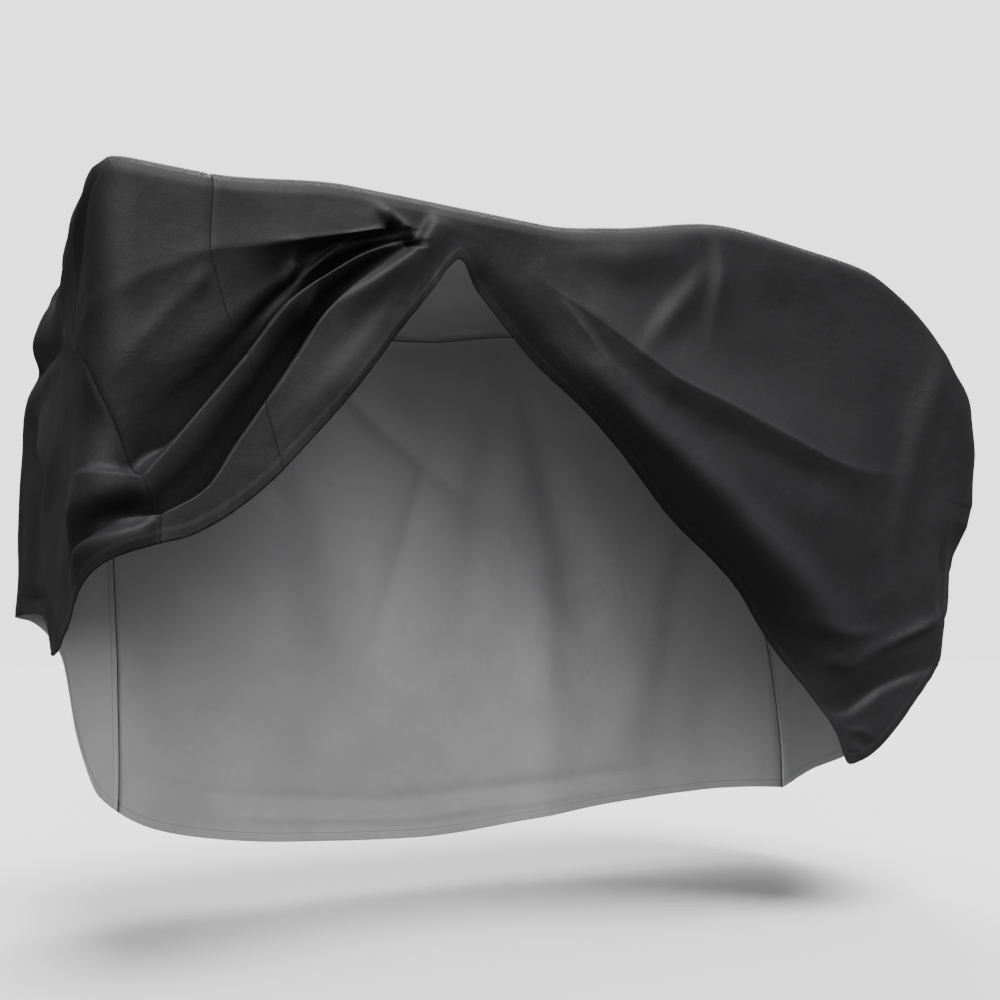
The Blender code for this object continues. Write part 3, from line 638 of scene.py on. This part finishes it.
# how the cloth is cut and sewn, in metres
clothMake = {
    "thickness": 0.0018,  # at the doubled hem
    "singleShare": 0.52,  # a single layer's share of that
    "seamGap": 0.0006,  # kept back from the seam on each side
    "seamDip": 0.0018,  # how far the cloth rolls down into a seam
    "seamReach": 0.0045,
    "allowance": 0.009,  # seam allowance turned to the inside
    "allowanceFold": 0.004,  # where it bends
    "hem": 0.022,
    "doubled": 0.021,  # the hem is of two layers up to here
    "hemWave": 0.0005,  # the stitched hem puckers by this much
    "hemWaveLength": 0.035,
    "calmBySeam": 0.02,  # but not so near a seam
    "seamStitch": 0.0060,  # the row of stitches beside a seam, from the seam
    "hemStitch": 0.0035,  # and the row that holds the hem, from the hem's upper edge
    "stitchLength": 0.0042,
}
farAway = 9.0  # stands for a place with no seam or no hem near it
# rows at these distances from a seam and from a hem
seamSteps = (clothMake["seamGap"], 0.0018, 0.0036, 0.0065, 0.011)
hemSteps = (0.0, 0.004, 0.0125, 0.0208, clothMake["hem"])


def edgeFirst(grid, edge):  # the grid turned so that this edge is its first row
    axis, end = edge
    rows = np.moveaxis(grid, axis, 0)
    return rows[::-1] if end else rows


def edgeBack(rows, edge):
    axis, end = edge
    return np.moveaxis(rows[::-1] if end else rows, 0, axis)


def awayFrom(rows):  # metres of cloth between the first row and each other row
    steps = np.linalg.norm(np.diff(rows[..., :3], axis=0), axis=-1)
    return np.concatenate([np.zeros((1, rows.shape[1])), np.cumsum(steps, 0)])


def layRows(grid, edge, steps):  # lays rows at set distances from an edge, and the rest beyond them
    rows = edgeFirst(grid, edge)
    away = awayFrom(rows)
    laid = np.empty((len(rows) - 1 + len(steps),) + rows.shape[1:])
    for i in range(rows.shape[1]):
        length = away[-1, i]
        beyond = steps[-1] + away[1:, i] * (length - steps[-1]) / length
        places = np.concatenate([steps, beyond])
        for k in range(rows.shape[2]):
            laid[:, i, k] = np.interp(places, away[:, i], rows[:, i, k])
    return edgeBack(laid, edge)


def facing(grid, flip):  # the outward direction at every point
    down, across = np.gradient(grid, axis=0), np.gradient(grid, axis=1)
    normal = np.cross(down, across)
    normal /= np.maximum(np.linalg.norm(normal, axis=-1, keepdims=True), 1e-9)
    return -normal if flip else normal


coverInside = ((-0.55, 0, -1.2), (0.55, 0, -0.45))  # the middle plane that a seam turns in to


def turnedIn(point):  # from a place on a seam towards the inside of the cover
    way = np.clip(point, *coverInside) - point
    return way / np.linalg.norm(way, axis=-1, keepdims=True)


def edgeDistance(grid, edges):  # to the nearest of these edges, and the run along it
    away, run = np.full(grid.shape[:2], farAway), np.zeros(grid.shape[:2])
    for edge in edges:
        fromEdge = edgeBack(awayFrom(edgeFirst(grid, edge)), edge)
        along = np.moveaxis(awayFrom(np.moveaxis(grid, 1 - edge[0], 0)), 0, 1 - edge[0])
        closer = fromEdge < away
        away[closer], run[closer] = fromEdge[closer], along[closer]
    return away, run


def withAllowance(cloth, edge):  # two more rows that turn in behind a seam
    rows = edgeFirst(cloth, edge)
    fins = []
    for depth in (clothMake["allowance"], clothMake["allowanceFold"]):
        fin = rows[0].copy()
        fin[:, :3] += turnedIn(fin[:, :3]) * depth
        fins.append(fin)
    return edgeBack(np.concatenate([np.stack(fins), rows]), edge)


def sewn(grid, flip, seams, hems):  # place, cloth, seam and hem coordinates of every point
    for edge in seams:
        grid = layRows(grid, edge, seamSteps)
    for edge in hems:
        grid = layRows(grid, edge, hemSteps)
    seamAway, seamRun = edgeDistance(grid, seams)
    hemAway, hemRun = edgeDistance(grid, hems)
    dip = clothMake["seamDip"] * np.exp(-((seamAway / clothMake["seamReach"]) ** 2))
    wave = crinkle(hemRun, 0 * hemRun, clothMake["hemWaveLength"], clothHand["seeds"]["hem"])
    pucker = clothMake["hemWave"] * wave * np.exp(-((hemAway / clothMake["hem"]) ** 2))
    pucker = pucker * ease(seamAway / clothMake["calmBySeam"])
    grid = grid + facing(grid, flip) * pucker[..., None] + turnedIn(grid) * dip[..., None]
    across, down = awayFrom(np.moveaxis(grid, 1, 0)).T, awayFrom(grid)
    layers = [layer[..., None] for layer in (across, down, seamAway, seamRun, hemAway, hemRun)]
    cloth = np.concatenate([grid] + layers, -1)
    for edge in seams:
        cloth = withAllowance(cloth, edge)
    return cloth


def clothMesh(name, cloth, flip):  # one grid of faces, with the three sets of coordinates
    rowCount, columnCount = cloth.shape[:2]
    work = bmesh.new()
    bmesh.ops.create_grid(work, x_segments=rowCount - 1, y_segments=columnCount - 1, size=1)
    row = np.array([round((vert.co.x + 1) / 2 * (rowCount - 1)) for vert in work.verts])
    column = np.array([round((vert.co.y + 1) / 2 * (columnCount - 1)) for vert in work.verts])
    laid = cloth[row, column]
    for vert, place in zip(work.verts, laid):
        vert.co = place[:3]
    if flip:
        bmesh.ops.reverse_faces(work, faces=work.faces)
    mesh = bpy.data.meshes.new(name)
    work.to_mesh(mesh)
    work.free()
    mesh.shade_smooth()
    corner = np.empty(len(mesh.loops), int)
    mesh.loops.foreach_get("vertex_index", corner)
    for layer, first in (("cloth", 3), ("seam", 5), ("hem", 7)):
        mesh.uv_layers.new(name=layer).data.foreach_set("uv", laid[corner, first:first + 2].ravel())
    doubled = np.flatnonzero(laid[:, 7] < clothMake["doubled"])
    return mesh, doubled.tolist()


def clothPanel(name, grid, flip, seams, hems):
    mesh, doubled = clothMesh(name, sewn(grid, flip, seams, hems), flip)
    piece = bpy.data.objects.new(name, mesh)
    bpy.context.scene.collection.objects.link(piece)
    piece.vertex_groups.new(name="doubled hem").add(doubled, 1.0, "REPLACE")
    thick = piece.modifiers.new("cloth thickness", "SOLIDIFY")
    thick.thickness = clothMake["thickness"]
    thick.offset = 0
    thick.vertex_group = "doubled hem"
    thick.thickness_vertex_group = clothMake["singleShare"]
    thick.material_offset = 1  # the inside is silver
    thick.material_offset_rim = 0
    mesh.materials.append(blackCoat)
    mesh.materials.append(silverCoat)
    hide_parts(panelNodes[name])
    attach(piece, "root")
    print("made", name)


def putNode(tree, kind, inputs, **settings):  # `inputs` by socket name or number
    node = tree.nodes.new(kind)
    for key, value in settings.items():
        setattr(node, key, value)
    for key, value in inputs.items():
        if isinstance(value, bpy.types.NodeSocket):
            tree.links.new(value, node.inputs[key])
        else:
            node.inputs[key].default_value = value
    return node


def sums(tree, operation, *values):
    return putNode(tree, "ShaderNodeMath", dict(enumerate(values)), operation=operation).outputs[0]


def fadeOf(tree, value, start, stop):  # 1 at start, falling smoothly to 0 at stop
    inputs = {"Value": value, "From Min": start, "From Max": stop, "To Min": 1.0, "To Max": 0.0}
    return putNode(tree, "ShaderNodeMapRange", inputs, interpolation_type="SMOOTHSTEP").outputs[0]


def uvOf(tree, layer):
    uv = putNode(tree, "ShaderNodeUVMap", {}, uv_map=layer).outputs[0]
    split = putNode(tree, "ShaderNodeSeparateXYZ", {0: uv})
    return split.outputs[0], split.outputs[1]


def noiseOf(tree, where, scale, detail, roughness=0.5, distortion=0.0):
    inputs = {"Vector": where, "Scale": scale, "Detail": detail}
    inputs |= {"Roughness": roughness, "Distortion": distortion}
    return putNode(tree, "ShaderNodeTexNoise", inputs).outputs[0]


def bumpOf(tree, height, distance, strength=1.0, under=None):
    inputs = {"Height": height, "Distance": distance, "Strength": strength}
    if under is not None:
        inputs["Normal"] = under
    return putNode(tree, "ShaderNodeBump", inputs).outputs[0]


def mixOf(tree, factor, a, b):
    return putNode(tree, "ShaderNodeMix", {0: factor, 6: a, 7: b}, data_type="RGBA").outputs[2]


# how fine each kind of noise in the coating is
coatScale = {"swell": 9.0, "grain": 340.0, "mottle": 2.4, "worn": 3.1, "hemRub": 38.0, "gloss": 6.0}


def weaveOf(tree, clothU, clothV, look):  # plain weave under the coating
    turns = 2 * math.pi / look["thread"]
    warp = sums(tree, "SINE", sums(tree, "MULTIPLY", clothU, turns))
    weft = sums(tree, "SINE", sums(tree, "MULTIPLY", clothV, turns))
    return sums(tree, "ADD", sums(tree, "MULTIPLY", warp, weft), sums(tree, "MULTIPLY", weft, look["rib"]))


def stitchRow(tree, away, run, offset):  # the thread of one row of stitches, and the dent it makes
    aside = sums(tree, "ABSOLUTE", sums(tree, "SUBTRACT", away, offset))
    line = fadeOf(tree, aside, 0.0002, 0.0010)
    dash = sums(tree, "SINE", sums(tree, "MULTIPLY", run, 2 * math.pi / clothMake["stitchLength"]))
    thread = sums(tree, "MULTIPLY", line, fadeOf(tree, dash, -0.2, -0.7))
    return thread, fadeOf(tree, aside, 0.0004, 0.0032)


def creasesOf(tree, place, look):  # small creases, sharp where the coating has cracked over them
    field = noiseOf(tree, place, look["creaseScale"], 3.0, 0.55, 0.35)
    crease = sums(tree, "ABSOLUTE", sums(tree, "SUBTRACT", field, 0.5))
    worn = noiseOf(tree, place, coatScale["worn"], 3.0, 0.6)
    return sums(tree, "MULTIPLY", fadeOf(tree, crease, 0.0, 0.09), fadeOf(tree, worn, 0.62, 0.38))


def clothFinish(name, look):
    material = bpy.data.materials.new(name)
    material.use_nodes = True
    tree = material.node_tree
    shader = tree.nodes["Principled BSDF"]
    place = putNode(tree, "ShaderNodeTexCoord", {}).outputs["Object"]
    clothU, clothV = uvOf(tree, "cloth")
    seamAway, seamRun = uvOf(tree, "seam")
    hemAway, hemRun = uvOf(tree, "hem")
    weave = weaveOf(tree, clothU, clothV, look)
    grain = noiseOf(tree, place, coatScale["grain"], 2.0, 0.6)
    swell = noiseOf(tree, place, coatScale["swell"], 4.0, 0.55)
    creased = creasesOf(tree, place, look)
    seamStitch, seamDent = stitchRow(tree, seamAway, seamRun, clothMake["seamStitch"])
    hemStitch, hemDent = stitchRow(tree, hemAway, hemRun, clothMake["hem"] - clothMake["hemStitch"])
    stitch = sums(tree, "MAXIMUM", seamStitch, hemStitch)
    dent = sums(tree, "MAXIMUM", seamDent, hemDent)

    mottle = fadeOf(tree, noiseOf(tree, place, coatScale["mottle"], 5.0, 0.6), 0.70, 0.32)
    patches = fadeOf(tree, noiseOf(tree, place, coatScale["hemRub"], 3.0), 0.62, 0.42)
    hemRub = sums(tree, "MULTIPLY", fadeOf(tree, hemAway, 0.0, 0.0035), patches)  # the hem's very edge
    shade = mixOf(tree, mottle, look["light"], look["dark"])
    shade = mixOf(tree, sums(tree, "MULTIPLY", creased, look["creaseShade"]), shade, look["creased"])
    shade = mixOf(tree, sums(tree, "MULTIPLY", hemRub, 0.6), shade, look["rubbed"])
    shade = mixOf(tree, sums(tree, "MULTIPLY", stitch, 0.85), shade, look["stitch"])
    tree.links.new(shade, shader.inputs["Base Color"])

    leastRough = look["rough"] - look["roughSpread"] / 2
    gloss = noiseOf(tree, place, coatScale["gloss"], 4.0, 0.6)
    gloss = sums(tree, "MULTIPLY_ADD", gloss, look["roughSpread"], leastRough)
    gloss = sums(tree, "ADD", gloss, sums(tree, "MULTIPLY", stitch, 0.2))
    tree.links.new(gloss, shader.inputs["Roughness"])
    shader.inputs["Sheen Weight"].default_value = look["sheen"]
    shader.inputs["Sheen Roughness"].default_value = 0.45
    shader.inputs["Sheen Tint"].default_value = (0.8, 0.82, 0.86, 1)
    shader.inputs["Specular IOR Level"].default_value = look["specular"]

    relief = bumpOf(tree, swell, look["swellDepth"])
    relief = bumpOf(tree, creased, look["creaseDepth"], 0.8, relief)
    relief = bumpOf(tree, grain, look["grainDepth"], 0.8, relief)
    relief = bumpOf(tree, weave, look["weaveDepth"], 0.6, relief)
    relief = bumpOf(tree, sums(tree, "SUBTRACT", stitch, dent), look["stitchDepth"], 0.6, relief)
    tree.links.new(relief, shader.inputs["Normal"])
    return material


blackCoat = clothFinish("black coated polyester", {
    "thread": 0.0011, "rib": 0.0, "weaveDepth": 0.00006, "grainDepth": 0.0004,
    "creaseScale": 16.0, "creaseDepth": 0.0003, "creaseShade": 0.20,
    "swellDepth": 0.0035, "stitchDepth": 0.0003,
    "light": (0.018, 0.018, 0.0192, 1), "dark": (0.0135, 0.0135, 0.0147, 1),
    "creased": (0.022, 0.022, 0.0236, 1), "rubbed": (0.036, 0.036, 0.038, 1),
    "stitch": (0.026, 0.026, 0.028, 1),
    "rough": 0.60, "roughSpread": 0.12, "sheen": 0.02, "specular": 0.22,
})
silverCoat = clothFinish("silver coated inside", {
    "thread": 0.0013, "rib": 0.6, "weaveDepth": 0.00012, "grainDepth": 0.00035,
    "creaseScale": 11.0, "creaseDepth": 0.0004, "creaseShade": 0.10,
    "swellDepth": 0.004, "stitchDepth": 0.0003,
    "light": (0.68, 0.68, 0.69, 1), "dark": (0.58, 0.58, 0.595, 1),
    "creased": (0.38, 0.38, 0.39, 1), "rubbed": (0.60, 0.60, 0.61, 1),
    "stitch": (0.10, 0.10, 0.105, 1),
    "rough": 0.52, "roughSpread": 0.14, "sheen": 0.10, "specular": 0.5,
})
print("finishes made")

# each panel takes the place of one solid
panelNodes = {
    "frontStripCloth": "front_strip",
    "topAndRearCloth": "top_and_rear_strip",
    "nearFrontCloth": "near_front_panel",
    "nearSideCloth": "near_side_panel",
    "farFrontCloth": "far_front_panel",
    "farSideCloth": "far_side_panel",
}
highEdge, leftEdge, rightEdge, lowEdge = (0, 0), (1, 0), (1, 1), (0, 1)
clothPanel("frontStripCloth", fallenBack(strip[: crossRow + 1]), False,
           (leftEdge, rightEdge, lowEdge), (highEdge,))
clothPanel("topAndRearCloth", fallenBack(strip[crossRow:]), False,
           (leftEdge, rightEdge, highEdge), (lowEdge,))
clothPanel("nearFrontCloth", fallenBack(onWall(nearFrontPlaces, -1)), False,
           (highEdge, leftEdge, rightEdge), (lowEdge,))
clothPanel("nearSideCloth", fallenBack(onWall(nearSidePlaces, -1)), False,
           (highEdge, leftEdge, rightEdge), (lowEdge,))
clothPanel("farFrontCloth", fallenBack(onWall(farFrontPlaces, 1)), True,
           (highEdge, leftEdge, rightEdge), (lowEdge,))
clothPanel("farSideCloth", fallenBack(onWall(farSidePlaces, 1)), True,
           (highEdge, leftEdge, rightEdge), (lowEdge,))


studio = {
    "floorHeight": -1.30,
    "floorSize": 90.0,
    "floorPale": 0.90,
    "floorBounce": 0.08,  # what the floor gives back to the cloth, as a dark cloth under it would
    "backdrop": 2.4,
    "ambient": 0.07,
    "lamps": (  # name, the way to it, strength, softness in degrees
        ("key", (-0.06, -0.50, 1.0), 5.2, 34),
        ("overhead", (0.10, 0.10, 1.0), 1.6, 60),
        ("low front", (-0.40, -0.86, 0.26), 1.8, 50),
        ("behind", (0.40, 0.75, 0.55), 4.2, 40),
    ),
    "cameraPlace": (-1.38, -2.345, -0.77),
    "cameraUp": 6.58,  # degrees above level
    "cameraTurn": -30,
    "lens": 46.8,
    "sensor": 36,
}


def seenOrNot(tree, kind, end, socket, seen, unseen):  # one grey for the camera, another for bounced light
    ray = putNode(tree, "ShaderNodeLightPath", {}).outputs["Is Camera Ray"]
    dark = putNode(tree, kind, {"Color": (unseen, unseen, unseen, 1)}).outputs[0]
    pale = putNode(tree, kind, {"Color": (seen, seen, seen, 1)}).outputs[0]
    both = putNode(tree, "ShaderNodeMixShader", {0: ray, 1: dark, 2: pale}).outputs[0]
    tree.links.new(both, tree.nodes[end].inputs[socket])


work = bmesh.new()
bmesh.ops.create_grid(work, x_segments=8, y_segments=8, size=studio["floorSize"] / 2)
bmesh.ops.translate(work, vec=(0, 0, studio["floorHeight"]), verts=work.verts)
floorMesh = bpy.data.meshes.new("floor")
work.to_mesh(floorMesh)
work.free()
floor = bpy.data.objects.new("floor", floorMesh)
bpy.context.scene.collection.objects.link(floor)
paleFloor = bpy.data.materials.new("pale floor")
paleFloor.use_nodes = True
seenOrNot(paleFloor.node_tree, "ShaderNodeBsdfDiffuse", "Material Output", "Surface",
          studio["floorPale"], studio["floorBounce"])
floorMesh.materials.append(paleFloor)

world = bpy.data.worlds.new("pale room")
bpy.context.scene.world = world
world.use_nodes = True
seenOrNot(world.node_tree, "ShaderNodeBackground", "World Output", "Surface",
          studio["backdrop"], studio["ambient"])

for name, source, strength, softness in studio["lamps"]:
    lamp = bpy.data.lights.new(name, "SUN")
    lamp.energy = strength
    lamp.angle = math.radians(softness)
    light = bpy.data.objects.new(name, lamp)
    light.location = Vector(source) * 3
    light.rotation_euler = Vector(source).to_track_quat("Z", "Y").to_euler()
    bpy.context.scene.collection.objects.link(light)

cameraData = bpy.data.cameras.new("camera")
cameraData.lens = studio["lens"]
cameraData.sensor_width = studio["sensor"]
camera = bpy.data.objects.new("camera", cameraData)
camera.location = studio["cameraPlace"]
camera.rotation_euler = (math.radians(90 + studio["cameraUp"]), 0, math.radians(studio["cameraTurn"]))
bpy.context.scene.collection.objects.link(camera)
bpy.context.scene.camera = camera
print("floor, light and camera set")
